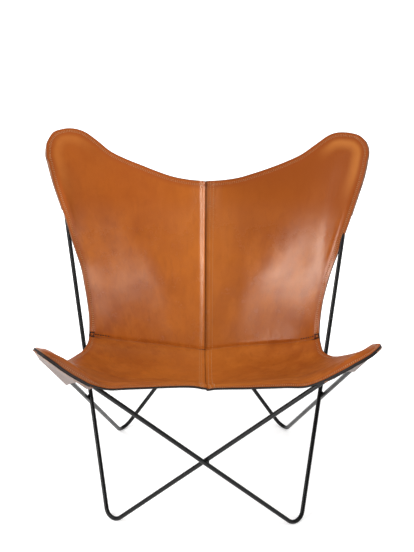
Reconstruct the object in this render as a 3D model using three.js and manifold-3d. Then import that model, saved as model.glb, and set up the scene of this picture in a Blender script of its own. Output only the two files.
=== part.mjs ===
import * as THREE from "three";
import { mergeVertices } from "three/addons/utils/BufferGeometryUtils.js";
import Module from "manifold-3d";

// Butterfly sling chair: two bent rod loops welded where they cross, and a
// sling of four leather panels that hangs by pockets from the four horns.
// Millimetres. X runs across, Y from the front to the back, Z up from the floor.

// Frame, at the corners where the straight rods would meet
const rodDiameter = 11;
const footHalfSpan = 240.3;
const footHalfDepth = 240;
const frontFootDrop = 15.6;
const backFootDrop = 16.5;
const backHornReach = 410.8;
const backHornDepth = 287.3;
const backHornHeight = 907.7;
const frontHornReach = 374.2;
const frontHornDepth = 415.2;
const frontHornHeight = 571.2;

// Bends, at the centre line of the rod
const footBend = 29;
const backHornBend = 28;
const frontHornBend = 26;

// Weld beads
const beadReach = 8;
const beadHeight = 3.4;

// Sling
const seamReach = 297.9;
const seamDepth = 110;
const seamHeight = 311;
const leatherThickness = 4.4;
const ridgeRise = 1.8;
const ridgeWidth = 9;
const pieceGap = 0.3;
const rodClearance = 2.8;
const pocketClearance = 4.2;
const stripThickness = 1.6;
const pocketThickness = 3;
const pocketSlope = 42;

const steel = { color: "#15171a", roughness: 0.42, metalness: 0.6 };
const leather = { color: "#b0642c", roughness: 0.46, metalness: 0 };
const suede = { color: "#a8958c", roughness: 0.95, metalness: 0 };

const wasm = await Module();
wasm.setup();

const chair = new THREE.Group();
const rodRadius = rodDiameter / 2;

const point = (x, y, z) => new THREE.Vector3(x, y, z);
const mix = (a, b, t) => a.clone().lerp(b, t);
const steps = (count) => Array.from({ length: count + 1 }, (_, i) => i / count);

function addPiece(name, geometry, finish) {
  geometry.computeVertexNormals();
  const mesh = new THREE.Mesh(
    geometry,
    new THREE.MeshStandardMaterial(finish),
  );
  mesh.name = name;
  chair.add(mesh);
}

// Closed mesh from vertices and triangles, turned so that its faces look out
function closedGeometry(vertices, triangles) {
  let volume = 0;
  for (const [a, b, c] of triangles)
    volume += vertices[a].dot(vertices[b].clone().cross(vertices[c]));
  const outward = triangles.map(([a, b, c]) =>
    volume < 0 ? [a, c, b] : [a, b, c],
  );
  const geometry = new THREE.BufferGeometry().setFromPoints(vertices);
  geometry.setIndex(outward.flat());
  return geometry;
}

function toSolid(geometry) {
  const bare = geometry.clone();
  bare.deleteAttribute("normal");
  bare.deleteAttribute("uv");
  const merged = mergeVertices(bare);
  return new wasm.Manifold(
    new wasm.Mesh({
      numProp: 3,
      vertProperties: merged.attributes.position.array,
      triVerts: new Uint32Array(merged.index.array),
    }),
  );
}

function fromSolid(solid) {
  const { vertProperties, triVerts } = solid.getMesh();
  const geometry = new THREE.BufferGeometry();
  geometry.setAttribute(
    "position",
    new THREE.BufferAttribute(vertProperties, 3),
  );
  geometry.setIndex(new THREE.BufferAttribute(triVerts, 1));
  return geometry;
}

// Frame

// Corners of both loops: the second mirrors the first, and each offset keeps
// the two rods of one crossing apart
function loopCorners({ front, back, left, right }) {
  const first = [
    point(-footHalfSpan, -footHalfDepth + front / 2, -frontFootDrop),
    point(-backHornReach, backHornDepth + back / 2, backHornHeight),
    point(footHalfSpan, footHalfDepth + back / 2, -backFootDrop),
    point(
      frontHornReach - right,
      -frontHornDepth + front / 2,
      frontHornHeight,
    ),
  ];
  const second = [
    point(footHalfSpan, -footHalfDepth - front / 2, -frontFootDrop),
    point(backHornReach, backHornDepth - back / 2, backHornHeight),
    point(-footHalfSpan, footHalfDepth - back / 2, -backFootDrop),
    point(
      -frontHornReach + left,
      -frontHornDepth - front / 2,
      frontHornHeight,
    ),
  ];
  return [first, second];
}

// Ends of the two straight rods at each crossing
const crossings = {
  front: ([a, b]) => [a[3], a[0], b[3], b[0]],
  back: ([a, b]) => [a[1], a[2], b[1], b[2]],
  left: ([a, b]) => [a[0], a[1], b[2], b[3]],
  right: ([a, b]) => [b[0], b[1], a[2], a[3]],
};

function rodsApart([p0, p1, q0, q1]) {
  const square = p1.clone().sub(p0).cross(q1.clone().sub(q0)).normalize();
  return Math.abs(q0.clone().sub(p0).dot(square));
}

// Offsets at which the rods meet, but for the gap, at all four crossings
const offsets = { front: rodDiameter, back: rodDiameter, left: 0, right: 0 };
const meetCount = 12;
for (let i = 0; i < meetCount; i++)
  for (const [side, ends] of Object.entries(crossings)) {
    const now = rodsApart(ends(loopCorners(offsets)));
    const moved = { ...offsets, [side]: offsets[side] + pieceGap };
    const gain = rodsApart(ends(loopCorners(moved))) - now;
    offsets[side] += (pieceGap * (rodDiameter + pieceGap - now)) / gain;
  }
const [loopA, loopB] = loopCorners(offsets);
const bends = [footBend, backHornBend, footBend, frontHornBend];

const bendStepCount = 10;
const rodSideCount = 12;

// Points of one round bend of a rod that turns at a corner
function bendPoints(before, corner, after, radius) {
  const back = before.clone().sub(corner).normalize();
  const on = after.clone().sub(corner).normalize();
  const half = back.angleTo(on) / 2;
  const middle = back.clone().add(on).normalize();
  const centre = corner.clone().addScaledVector(middle, radius / Math.sin(half));
  const reach = radius / Math.tan(half);
  const from = corner.clone().addScaledVector(back, reach).sub(centre);
  const to = corner.clone().addScaledVector(on, reach).sub(centre);
  const turn = from.angleTo(to);
  return steps(bendStepCount).map((t) =>
    centre
      .clone()
      .addScaledVector(from, Math.sin((1 - t) * turn) / Math.sin(turn))
      .addScaledVector(to, Math.sin(t * turn) / Math.sin(turn)),
  );
}

function loopLine(corners) {
  return corners.flatMap((corner, i) =>
    bendPoints(corners.at(i - 1), corner, corners[(i + 1) % 4], bends[i]),
  );
}

// Round rod swept along a closed line of points
function closedRod(line, radius) {
  const count = line.length;
  const sides = rodSideCount;
  const heading = line.map((p, i) =>
    line[(i + 1) % count].clone().sub(line.at(i - 1)).normalize(),
  );
  const carried = [point(1, 0, 0).cross(heading[0]).normalize()];
  for (let i = 1; i <= count; i++) {
    const turn = new THREE.Quaternion().setFromUnitVectors(
      heading[i - 1],
      heading[i % count],
    );
    carried.push(carried[i - 1].clone().applyQuaternion(turn));
  }
  const last = carried[count];
  const twist = Math.atan2(
    last.clone().cross(carried[0]).dot(heading[0]),
    last.dot(carried[0]),
  );
  const vertices = line.flatMap((p, i) => {
    const side = carried[i]
      .clone()
      .applyAxisAngle(heading[i], (twist * i) / count);
    const across = heading[i].clone().cross(side);
    return Array.from({ length: sides }, (_, k) => {
      const angle = (2 * Math.PI * k) / sides;
      return p
        .clone()
        .addScaledVector(side, radius * Math.cos(angle))
        .addScaledVector(across, radius * Math.sin(angle));
    });
  });
  const triangles = [];
  for (let i = 0; i < count; i++)
    for (let k = 0; k < sides; k++) {
      const next = (i + 1) % count;
      const turn = (k + 1) % sides;
      const [a, b] = [i * sides + k, i * sides + turn];
      const [c, d] = [next * sides + k, next * sides + turn];
      triangles.push([a, b, d], [a, d, c]);
    }
  return closedGeometry(vertices, triangles);
}

const floorBlock = toSolid(
  new THREE.BoxGeometry(
    4 * footHalfSpan,
    4 * footHalfDepth,
    backFootDrop,
  ).translate(0, 0, -backFootDrop / 2),
);

for (const [name, corners] of [
  ["rod_loop_a", loopA],
  ["rod_loop_b", loopB],
]) {
  const rod = toSolid(closedRod(loopLine(corners), rodRadius));
  addPiece(name, fromSolid(rod.subtract(floorBlock)), steel);
}

// Weld bead: a thin disc at the touching point of two rods, less both rods
function weldBead(p0, p1, q0, q1) {
  const u = p1.clone().sub(p0).normalize();
  const v = q1.clone().sub(q0).normalize();
  const normal = u.clone().cross(v).normalize();
  const gap = q0.clone().sub(p0);
  const cos = u.dot(v);
  const along = (gap.dot(u) - cos * gap.dot(v)) / (1 - cos * cos);
  const beside = (cos * gap.dot(u) - gap.dot(v)) / (1 - cos * cos);
  const onFirst = p0.clone().addScaledVector(u, along);
  const onSecond = q0.clone().addScaledVector(v, beside);
  const turn = new THREE.Quaternion().setFromUnitVectors(
    point(0, 0, 1),
    normal,
  );
  const middle = mix(onFirst, onSecond, 0.5);
  const place = (geometry, at, direction) =>
    toSolid(
      geometry
        .applyQuaternion(
          new THREE.Quaternion().setFromUnitVectors(
            point(0, 1, 0),
            direction,
          ),
        )
        .translate(at.x, at.y, at.z),
    );
  const rodSpace = (at, direction) =>
    place(
      new THREE.CylinderGeometry(
        rodRadius + pieceGap,
        rodRadius + pieceGap,
        6 * beadReach,
        16,
      ),
      at,
      direction,
    );
  const disc = new THREE.SphereGeometry(beadReach, 16, 8)
    .scale(1, 1, beadHeight / beadReach)
    .applyQuaternion(turn)
    .translate(middle.x, middle.y, middle.z);
  return fromSolid(
    toSolid(disc)
      .subtract(rodSpace(onFirst, u))
      .subtract(rodSpace(onSecond, v)),
  );
}

for (const [side, ends] of Object.entries(crossings))
  addPiece(`weld_${side}`, weldBead(...ends([loopA, loopB])), steel);

// Sling: edges of one half, as shares of the horn and seam sizes

const centreBackShares = [
  [0, 1.0002, 1],
  [0, 0.9761, 0.8831],
  [0, 0.9615, 0.8368],
  [0, 0.9382, 0.837],
  [0, 0.8976, 0.8371],
  [0, 0.8354, 0.8284],
];
const topShares = [
  [0, 0.8354, 0.8281],
  [0.1055, 0.8449, 0.8312],
  [0.2096, 0.8587, 0.8383],
  [0.311, 0.8775, 0.8505],
  [0.4105, 0.9017, 0.865],
  [0.5088, 0.9288, 0.8808],
  [0.6042, 0.9555, 0.8995],
  [0.6921, 0.9764, 0.9249],
  [0.7347, 0.9835, 0.9389],
  [0.7785, 0.9875, 0.9518],
  [0.8252, 0.9869, 0.9616],
  [0.8735, 0.977, 0.9671],
  [0.92, 0.9531, 0.9683],
  [0.961, 0.9143, 0.9651],
  [0.9937, 0.8658, 0.9574],
];
const sideShares = [
  [1.0001, 0.1172, 1.2669],
  [0.9936, 0.2841, 1.237],
  [0.9881, 0.4024, 1.2139],
  [0.9927, 0.4935, 1.1948],
  [1.0044, 0.5609, 1.179],
  [1.0242, 0.6183, 1.1641],
  [1.046, 0.6769, 1.1495],
  [1.0651, 0.7326, 1.1365],
  [1.0839, 0.7727, 1.1266],
  [1.1, 0.7998, 1.1194],
  [1.1109, 0.8253, 1.1133],
  [1.102, 0.8204, 1.0807],
  [1.0888, 0.8222, 1.0497],
  [1.0674, 0.8329, 1.0193],
  [1.0355, 0.8488, 0.9888],
  [0.9937, 0.8658, 0.9574],
];
const seamShares = [
  [0, 1.0002, 1],
  [0.1328, 0.9793, 1.0179],
  [0.2632, 0.9312, 1.046],
  [0.3927, 0.8661, 1.0729],
  [0.5178, 0.7626, 1.1036],
  [0.6399, 0.6342, 1.1351],
  [0.7597, 0.4945, 1.1672],
  [0.875, 0.3379, 1.2053],
  [1.0001, 0.1172, 1.2669],
];
const centreSeatShares = [
  [0, 1.0002, 1],
  [0, 0.3909, 0.8501],
  [0, 0, 0.7553],
  [0, -0.3322, 0.7147],
  [0, -0.5626, 0.7113],
  [0, -0.7317, 0.7306],
  [0, -0.8343, 0.7528],
  [0, -0.8792, 0.7598],
];
const armShares = [
  [1.0001, 0.1172, 1.2669],
  [1.008, -0.1608, 1.1504],
  [1.0234, -0.3461, 1.0865],
  [1.036, -0.4838, 1.0536],
  [1.0435, -0.5875, 1.0325],
  [1.0461, -0.6689, 1.0185],
  [1.0457, -0.7327, 1.0098],
  [1.0434, -0.7825, 1.0067],
  [1.0407, -0.8253, 1.0031],
  [1.0381, -0.8614, 1.0005],
  [1.0366, -0.8897, 1.0009],
  [1.0292, -0.9143, 1.0025],
  [1.0191, -0.9381, 1.0018],
  [1.0079, -0.9627, 0.9974],
  [0.9984, -0.9961, 0.9866],
];
const frontShares = [
  [0, -0.8792, 0.7629],
  [0.0788, -0.8811, 0.7722],
  [0.1581, -0.8851, 0.7774],
  [0.2376, -0.8896, 0.7821],
  [0.3171, -0.8966, 0.7861],
  [0.3962, -0.9055, 0.7898],
  [0.4752, -0.9151, 0.7935],
  [0.5531, -0.9304, 0.7981],
  [0.6289, -0.9489, 0.8056],
  [0.6928, -0.9719, 0.8317],
  [0.7523, -0.9912, 0.8637],
  [0.8127, -1.01, 0.8954],
  [0.8726, -1.0242, 0.9281],
  [0.9333, -1.0278, 0.9621],
  [0.9984, -0.9961, 0.9866],
];

// Edge from a table of shares, which go over from one set of sizes to another
const edgeCurve = (shares, from, to = from) =>
  new THREE.CatmullRomCurve3(
    shares.map((row, i) =>
      point(...row).multiply(mix(from, to, i / (shares.length - 1))),
    ),
    false,
    "centripetal",
  );

// Smooth surface between four edges; u runs outwards, v away from the seam
function patch(seam, far, centre, side) {
  return (u, v) => {
    const across = mix(seam.getPointAt(u), far.getPointAt(u), v);
    const along = mix(centre.getPointAt(v), side.getPointAt(v), u);
    const plain = mix(
      mix(seam.getPoint(0), seam.getPoint(1), u),
      mix(far.getPoint(0), far.getPoint(1), u),
      v,
    );
    return across.add(along).sub(plain);
  };
}

const seamSizes = point(seamReach, seamDepth, seamHeight);
const backSizes = point(backHornReach, backHornDepth, backHornHeight);
const frontSizes = point(frontHornReach, frontHornDepth, frontHornHeight);
const seam = edgeCurve(seamShares, seamSizes);
const backPatch = patch(
  seam,
  edgeCurve(topShares, backSizes),
  edgeCurve(centreBackShares, seamSizes, backSizes),
  edgeCurve(sideShares, seamSizes, backSizes),
);
const seatPatch = patch(
  seam,
  edgeCurve(frontShares, frontSizes),
  edgeCurve(centreSeatShares, seamSizes, frontSizes),
  edgeCurve(armShares, seamSizes, frontSizes),
);

// Each half follows the rods on its own side, which stand a little apart
const backSurface = (hand) => (u, v) => {
  const p = backPatch(u, v);
  return point(hand * p.x, p.y - (hand * u * offsets.back) / 2, p.z);
};
const seatSurface = (hand) => (u, v) => {
  const p = seatPatch(u, v);
  const near = v * (2 - v);
  const shift = near * offsets.front - (1 - near) * offsets.back;
  return point(hand * p.x, p.y + (hand * u * shift) / 2, p.z);
};

const nearShare = 0.012;

// Direction square to a surface, towards the sitter
function facing(surface, u, v) {
  const inU = Math.min(Math.max(u, nearShare), 1 - 2 * nearShare);
  const inV = Math.min(Math.max(v, nearShare), 1 - 2 * nearShare);
  const alongU = surface(inU + nearShare, inV).sub(
    surface(inU - nearShare, inV),
  );
  const alongV = surface(inU, inV + nearShare).sub(
    surface(inU, inV - nearShare),
  );
  const normal = alongU.cross(alongV).normalize();
  if (normal.z - normal.y < 0) normal.negate();
  if (u < nearShare) normal.setX(0).normalize();
  return normal;
}

const rodLines = [loopA, loopB].map((corners) => {
  const line = loopLine(corners);
  return line.map((p, i) => new THREE.Line3(p, line[(i + 1) % line.length]));
});

// Moves a point along a direction until it clears every rod by a distance
function clearOfRods(p, direction, distance) {
  const moved = p.clone();
  for (const rod of rodLines.flat()) {
    const near = rod.closestPointToPoint(moved, true, point());
    const apart = moved.clone().sub(near);
    if (apart.length() > 2 * distance) continue;
    const axis = rod.delta(point()).normalize();
    const lift = direction.clone().addScaledVector(axis, -direction.dot(axis));
    const scale = lift.length();
    lift.normalize();
    const height = apart.dot(lift);
    const beside = Math.max(apart.lengthSq() - height * height, 0);
    if (beside >= distance * distance) continue;
    const need = Math.sqrt(distance * distance - beside) - height;
    if (need > 0) moved.addScaledVector(direction, need / scale);
  }
  return moved;
}

// Closed sheet from a grid of upper and lower points
function sheet(upper, lower) {
  const rows = upper.length;
  const cells = upper[0].length;
  const index = (side, i, j) => side * rows * cells + i * cells + j;
  const triangles = [];
  const face = (a, b, c, d) => triangles.push([a, b, c], [a, c, d]);
  for (const side of [0, 1])
    for (let i = 1; i < rows; i++)
      for (let j = 1; j < cells; j++) {
        const corners = [
          index(side, i - 1, j - 1),
          index(side, i, j - 1),
          index(side, i, j),
          index(side, i - 1, j),
        ];
        face(...(side ? corners.reverse() : corners));
      }
  const rim = [];
  for (let i = 0; i < rows - 1; i++) rim.push([i, 0]);
  for (let j = 0; j < cells - 1; j++) rim.push([rows - 1, j]);
  for (let i = rows - 1; i > 0; i--) rim.push([i, cells - 1]);
  for (let j = cells - 1; j > 0; j--) rim.push([0, j]);
  rim.forEach(([i, j], k) => {
    const [m, n] = rim[(k + 1) % rim.length];
    face(index(0, i, j), index(1, i, j), index(1, m, n), index(0, m, n));
  });
  return closedGeometry([...upper.flat(), ...lower.flat()], triangles);
}

const panelClear = rodRadius + leatherThickness / 2 + rodClearance;

// Leather panel: even sheet on a surface, lifted over the rods, with a raised
// ridge along the centre seam
function panel(surface, hand, across, away, seamFacing) {
  const gap = pieceGap / 2;
  const middle = across.map((u) =>
    away.map((v) => {
      const direction = v === 0 ? seamFacing(u) : facing(surface, u, v);
      const p = clearOfRods(surface(u, v), direction, panelClear);
      const beside = Math.abs(p.x) / ridgeWidth;
      p.addScaledVector(direction, ridgeRise * Math.exp(-beside * beside));
      if (u === 0) p.x = hand * gap;
      return { p, direction };
    }),
  );
  for (const row of middle)
    row[0].p.addScaledVector(
      row[1].p.clone().sub(row[0].p).normalize(),
      gap,
    );
  const layer = (offset) =>
    middle.map((row) =>
      row.map(({ p, direction }) =>
        p.clone().addScaledVector(direction, offset),
      ),
    );
  return sheet(layer(leatherThickness / 2), layer(-leatherThickness / 2));
}

const acrossShares = [
  0, 0.014, 0.03, 0.06, 0.12, 0.2, 0.28, 0.36, 0.44, 0.52, 0.6, 0.67, 0.73,
  0.79, 0.84, 0.88, 0.91, 0.935, 0.96, 0.98, 1,
];
const backAwayShares = [
  0, 0.03, 0.1, 0.18, 0.26, 0.34, 0.42, 0.5, 0.58, 0.66, 0.74, 0.81, 0.87,
  0.92, 0.96, 1,
];
const seatAwayShares = [
  0, 0.03, 0.08, 0.14, 0.22, 0.32, 0.42, 0.52, 0.62, 0.71, 0.79, 0.85, 0.89,
  0.92, 0.94, 0.96, 0.98, 1,
];

const pocketAlongShares = [
  0, 0.06, 0.12, 0.18, 0.24, 0.3, 0.36, 0.42, 0.46, 0.5, 0.54, 0.58, 0.64, 0.7,
  0.76, 0.82, 0.88, 0.94, 1,
];
const pocketAwayShares = [
  0, 0.15, 0.3, 0.45, 0.58, 0.68, 0.76, 0.83, 0.89, 0.94, 0.97, 1,
];
const backMouthShares = [0.66, 0.6];
const frontMouthShares = [0.5, 0.64];
const pocketSideShare = 0.06;
const stripAcrossShares = acrossShares.slice(0, 4);

const sides = [
  ["left", -1],
  ["right", 1],
];

// Grid of points of a thin layer under a panel, moved out by a middle offset
const layerSheet = (grid, thickness) =>
  sheet(
    ...[thickness / 2, -thickness / 2].map((offset) =>
      grid.map((row) =>
        row.map(({ p, direction }) =>
          p.clone().addScaledVector(direction, offset),
        ),
      ),
    ),
  );

// Pocket layer under a panel round a horn: sewn to the panel along the edge
// and open towards the middle, where the two rods leave it
function pocket(surface, horn, mouthShares, depthShare) {
  const [before, corner, after] = horn;
  const square = before
    .clone()
    .sub(corner)
    .cross(after.clone().sub(corner))
    .normalize();
  if (square.z - square.y < 0) square.negate();
  const [sideShare, farShare] = mouthShares;
  const edge = (s) =>
    s < 0.5
      ? [1, sideShare + depthShare + (1 - sideShare - depthShare) * 2 * s]
      : [1 - (1 - farShare - depthShare) * (2 * s - 1), 1];
  const mouth = (s) => [
    1 + (farShare - 1) * s,
    sideShare + (1 - sideShare) * s,
  ];
  const outline = steps(20).flatMap((s) => [
    surface(1, sideShare + (1 - sideShare) * s),
    surface(farShare + (1 - farShare) * s, 1),
  ]);
  const sewn = (leatherThickness + pocketThickness) / 2 + pieceGap;
  const clear = rodRadius + pocketThickness / 2 + pocketClearance;
  const grid = pocketAlongShares.map((s) =>
    pocketAwayShares.map((t) => {
      const [[u0, v0], [u1, v1]] = [mouth(s), edge(s)];
      const [u, v] = [u0 + (u1 - u0) * t, v0 + (v1 - v0) * t];
      const base = surface(u, v);
      const direction = facing(surface, u, v);
      const reach = Math.min(...outline.map((p) => p.distanceTo(base)));
      const open = Math.min(reach / pocketSlope, 1);
      const height = base.clone().sub(corner).dot(square);
      const bottom = (height + clear) / direction.dot(square);
      const drop = sewn + open * Math.max(bottom - sewn, 0);
      const p = base.addScaledVector(direction, -drop);
      return {
        p: clearOfRods(p, direction.clone().negate(), clear),
        direction,
      };
    }),
  );
  return layerSheet(grid, pocketThickness);
}

// Strip sewn under the centre seam, across both halves
function centreStrip(surfaces, away) {
  const under = (leatherThickness + stripThickness) / 2 + pieceGap;
  const halves = surfaces.map((surface) =>
    stripAcrossShares.map((u) =>
      away.map((v) => {
        const direction = facing(surface, u, v);
        const p = surface(u, v);
        const beside = p.x / ridgeWidth;
        const rise = ridgeRise * Math.exp(-beside * beside);
        return { p: p.addScaledVector(direction, rise - under), direction };
      }),
    ),
  );
  const grid = [...halves[0].reverse(), ...halves[1].slice(1)];
  return layerSheet(grid, stripThickness);
}

const horns = {
  left: [
    [loopA[0], loopA[1], loopA[2]],
    [loopB[2], loopB[3], loopB[0]],
  ],
  right: [
    [loopB[0], loopB[1], loopB[2]],
    [loopA[2], loopA[3], loopA[0]],
  ],
};

for (const [side, hand] of sides) {
  const back = backSurface(hand);
  const seat = seatSurface(hand);
  const [backHorn, frontHorn] = horns[side];
  const seamFacing = (u) =>
    facing(back, u, 0).add(facing(seat, u, 0)).normalize();
  addPiece(
    `back_panel_${side}`,
    panel(back, hand, acrossShares, backAwayShares, seamFacing),
    leather,
  );
  addPiece(
    `seat_panel_${side}`,
    panel(seat, hand, acrossShares, seatAwayShares, seamFacing),
    leather,
  );
  addPiece(
    `back_pocket_${side}`,
    pocket(back, backHorn, backMouthShares, pocketSideShare),
    suede,
  );
  addPiece(
    `front_pocket_${side}`,
    pocket(seat, frontHorn, frontMouthShares, pocketSideShare),
    suede,
  );
}

const backs = sides.map(([, hand]) => backSurface(hand));
const seats = sides.map(([, hand]) => seatSurface(hand));
addPiece(
  "centre_strip_back",
  centreStrip(backs, backAwayShares.slice(1)),
  leather,
);
addPiece(
  "centre_strip_seat",
  centreStrip(seats, seatAwayShares.slice(1)),
  leather,
);

// Origin on the floor, under the middle of the chair
const middle = new THREE.Box3().setFromObject(chair).getCenter(point());
for (const { geometry } of chair.children)
  geometry.translate(-middle.x, -middle.y, 0);

export default chair;
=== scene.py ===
import math

import bpy
import numpy as np
from mathutils import Matrix, Vector
from mathutils.bvhtree import BVHTree


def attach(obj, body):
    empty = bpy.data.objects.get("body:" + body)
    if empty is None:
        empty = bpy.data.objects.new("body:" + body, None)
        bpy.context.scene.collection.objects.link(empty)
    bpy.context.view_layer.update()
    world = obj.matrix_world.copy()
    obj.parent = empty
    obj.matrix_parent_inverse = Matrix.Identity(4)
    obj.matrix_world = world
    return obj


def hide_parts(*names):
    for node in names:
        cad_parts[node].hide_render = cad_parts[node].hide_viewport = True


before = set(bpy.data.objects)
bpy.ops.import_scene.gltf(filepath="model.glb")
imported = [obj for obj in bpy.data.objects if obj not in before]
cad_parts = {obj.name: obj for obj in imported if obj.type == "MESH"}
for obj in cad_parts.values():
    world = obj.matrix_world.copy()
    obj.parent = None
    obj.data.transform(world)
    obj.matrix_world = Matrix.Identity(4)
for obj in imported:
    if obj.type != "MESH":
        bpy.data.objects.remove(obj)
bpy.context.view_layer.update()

MM = 0.001
ROD_RADIUS = 5.5 * MM
LEATHER = 4.6 * MM
POCKET = 3.0 * MM
STRIP = 1.6 * MM


# Camera, at the photograph's viewing angle

IMAGE_WIDTH = 414
IMAGE_HEIGHT = 552
EYE = Vector((-0.02686, -2.32646, 1.4896))
PITCH = 0.37023
YAW = 0.01417
ROLL = 0.01144
FOCAL_PIXELS = 1012.336
CENTRE_PIXEL = (208.6, 278.29)
FILM_HEIGHT = 36


def add_camera():
    flat = math.cos(PITCH)
    forward = Vector((math.sin(YAW) * flat, math.cos(YAW) * flat, -math.sin(PITCH)))
    level = Vector((math.cos(YAW), -math.sin(YAW), 0))
    upright = level.cross(forward)
    right = math.cos(ROLL) * level + math.sin(ROLL) * upright
    up = math.cos(ROLL) * upright - math.sin(ROLL) * level
    data = bpy.data.cameras.new("camera")
    data.sensor_fit = "VERTICAL"
    data.sensor_height = FILM_HEIGHT
    data.lens = FOCAL_PIXELS * FILM_HEIGHT / IMAGE_HEIGHT
    data.shift_x = (IMAGE_WIDTH / 2 - CENTRE_PIXEL[0]) / IMAGE_HEIGHT
    data.shift_y = (CENTRE_PIXEL[1] - IMAGE_HEIGHT / 2) / IMAGE_HEIGHT
    data.clip_start = 0.05
    camera = bpy.data.objects.new("camera", data)
    turn = Matrix((right, up, -forward)).transposed().to_4x4()
    camera.matrix_world = Matrix.Translation(EYE) @ turn
    bpy.context.scene.collection.objects.link(camera)
    bpy.context.scene.camera = camera


add_camera()


# Frame: corners of the two rod loops, in millimetres

LOOP_A = (
    (-240.354, -170.938, -15.6),
    (-410.854, 356.123, 907.7),
    (240.246, 308.823, -16.5),
    (371.637, -346.138, 571.2),
)
LOOP_B = (
    (240.246, -182.731, -15.6),
    (410.746, 344.808, 907.7),
    (-240.354, 297.508, -16.5),
    (-372.880, -357.931, 571.2),
)
BENDS = (29, 28, 29, 36)


def norm(v):
    return np.linalg.norm(v, axis=-1)


def unit(v):
    return v / np.linalg.norm(v, axis=-1, keepdims=True)


def bend_points(before, corner, after, radius, count):
    """Points of a round bend, from the side of before to the side of after."""
    back, on = unit(before - corner), unit(after - corner)
    half = math.acos(float(back @ on)) / 2
    centre = corner + unit(back + on) * radius / math.sin(half)
    reach = radius / math.tan(half)
    start = corner + back * reach - centre
    end = corner + on * reach - centre
    turn = math.pi - 2 * half
    t = np.linspace(0, 1, count)[:, None]
    sweep = np.sin((1 - t) * turn) * start + np.sin(t * turn) * end
    return centre + sweep / math.sin(turn)


def loop_line(corners, count=25):
    corners = np.array(corners) * MM
    parts = []
    for i, corner in enumerate(corners):
        after = corners[(i + 1) % 4]
        radius = BENDS[i] * MM
        parts.append(bend_points(corners[i - 1], corner, after, radius, count))
    return parts


# Sling: the edges of its four panels from the seams outwards, as the x, y and z
# of one point after another, in millimetres

CENTRE_BACK = (
    0, 173.2, 309.5, 0, 205.2, 380, 0, 237.1, 460, 0, 266.2, 560,
    0, 289.2, 660, 0, 303.2, 748.4,
)
CENTRE_SEAT = (
    0, 173.2, 309.5, 0, 123.2, 296.5, 0, 63.2, 293, 0, -16.8, 305.5,
    0, -96.8, 336.5, 0, -176.8, 377.8, 0, -246.8, 413.8, 0, -300, 432.6,
)
SEAM_LEFT = (
    0, 173.1, 309.5, -44.3, 171.1, 317.1, -87.9, 164.6, 326.1, -130.4, 154.1, 336.4,
    -171.7, 140.4, 347.7, -211.8, 124.2, 360.1, -250.7, 106, 373.4, -301.1, 78.9, 393.1,
)
SEAM_RIGHT = (
    0, 173.1, 309.5, 44.2, 171, 317.8, 87.9, 164.4, 325.8, 130.9, 154, 334.4,
    172.6, 140.4, 343.9, 213, 123.9, 355.2, 251.5, 105.2, 368.9, 297.6, 78.2, 391.4,
)
TOP_LEFT = (
    0, 303.2, 748.4, -45, 304.9, 751.6, -89.3, 309.4, 758.7,
    -132.2, 317.3, 771, -174.1, 326.7, 785, -216.3, 335.7, 799.5,
    -257.3, 344.3, 817.6, -293.1, 353.3, 844.2, -310.9, 356.2, 857.2,
    -329.7, 357.4, 868.6, -350.9, 355.7, 875.6, -363.7, 353.2, 877.5,
    -376.2, 349.4, 877.8, -387.8, 344.2, 876.5, -399.2, 337.1, 874.8,
    -408, 328.8, 871, -413.6, 319.2, 864.4,
)
TOP_RIGHT = (
    0, 303.2, 748.4, 45, 305.2, 751, 89.4, 309.6, 757.1, 132.5, 316.3, 768.7,
    174.9, 323.5, 781.7, 216.8, 330.6, 796.9, 257.7, 337.7, 815, 294.5, 345.7, 839.7,
    331.4, 350.7, 865.2, 352, 348.5, 872.9, 372.2, 340.6, 875.7, 383.2, 334, 876,
    395.2, 326.1, 875.4, 405.8, 317.6, 873.6, 414.2, 307.9, 869.2, 422.4, 295.5, 861.6,
)
SIDE_LEFT = (
    -301.1, 78.9, 393.1, -301.9, 98.5, 433.7, -307.5, 116.9, 474.4,
    -315.5, 134.7, 515.1, -324.8, 153.5, 555.1, -339.7, 173.1, 593.4,
    -354.6, 193.4, 631.3, -368.2, 213.2, 669.9, -383.6, 230.7, 708.7,
    -398.4, 246.6, 748.3, -404.6, 253.7, 768.1, -410, 260.6, 788.4,
    -415.5, 268.3, 808.2, -419.8, 274.1, 819.1, -420.9, 281.3, 829.9,
    -421.5, 289.8, 839.8, -421.2, 299.4, 848.7, -418.2, 309, 857,
    -413.6, 319.2, 864.4,
)
SIDE_RIGHT = (
    297.6, 78.2, 391.4, 299.9, 97.2, 432, 305.9, 115.7, 472.8, 316.4, 133.5, 512.9,
    329.5, 150.9, 552.4, 345.6, 168, 590.8, 360.7, 183.8, 629.9, 375.7, 198.8, 669.2,
    389.8, 215.2, 708.6, 403.8, 231.2, 748.2, 410.5, 238.6, 767.7, 416, 246.5, 787.4,
    421, 255.8, 806.8, 423.2, 261.9, 818.1, 426.6, 268.7, 829.6, 427.8, 276.2, 840.2,
    426.4, 284.5, 851, 422.4, 295.5, 861.6,
)
ARM_LEFT = (
    -301.1, 78.9, 393.1, -301.7, 53.1, 387.6, -306.7, 36.1, 381.1,
    -313.6, 14.9, 378.3, -324.4, -22.3, 384.3, -333.6, -58.8, 392.2,
    -338.1, -80, 398.2, -340.8, -92.3, 402, -343.9, -106.1, 408.9,
    -348.4, -130.1, 424, -354.4, -167.8, 447.4, -360.1, -204.5, 469.5,
    -369.6, -242.2, 497.2, -370.4, -260.4, 508.9, -372.3, -277.9, 521.9,
    -375.4, -296, 533.3, -377.1, -307.6, 538, -377.6, -319.1, 543.1,
    -375.5, -330.5, 548.2, -370.8, -341.2, 551.6, -363.6, -350.9, 551.7,
)
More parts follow.
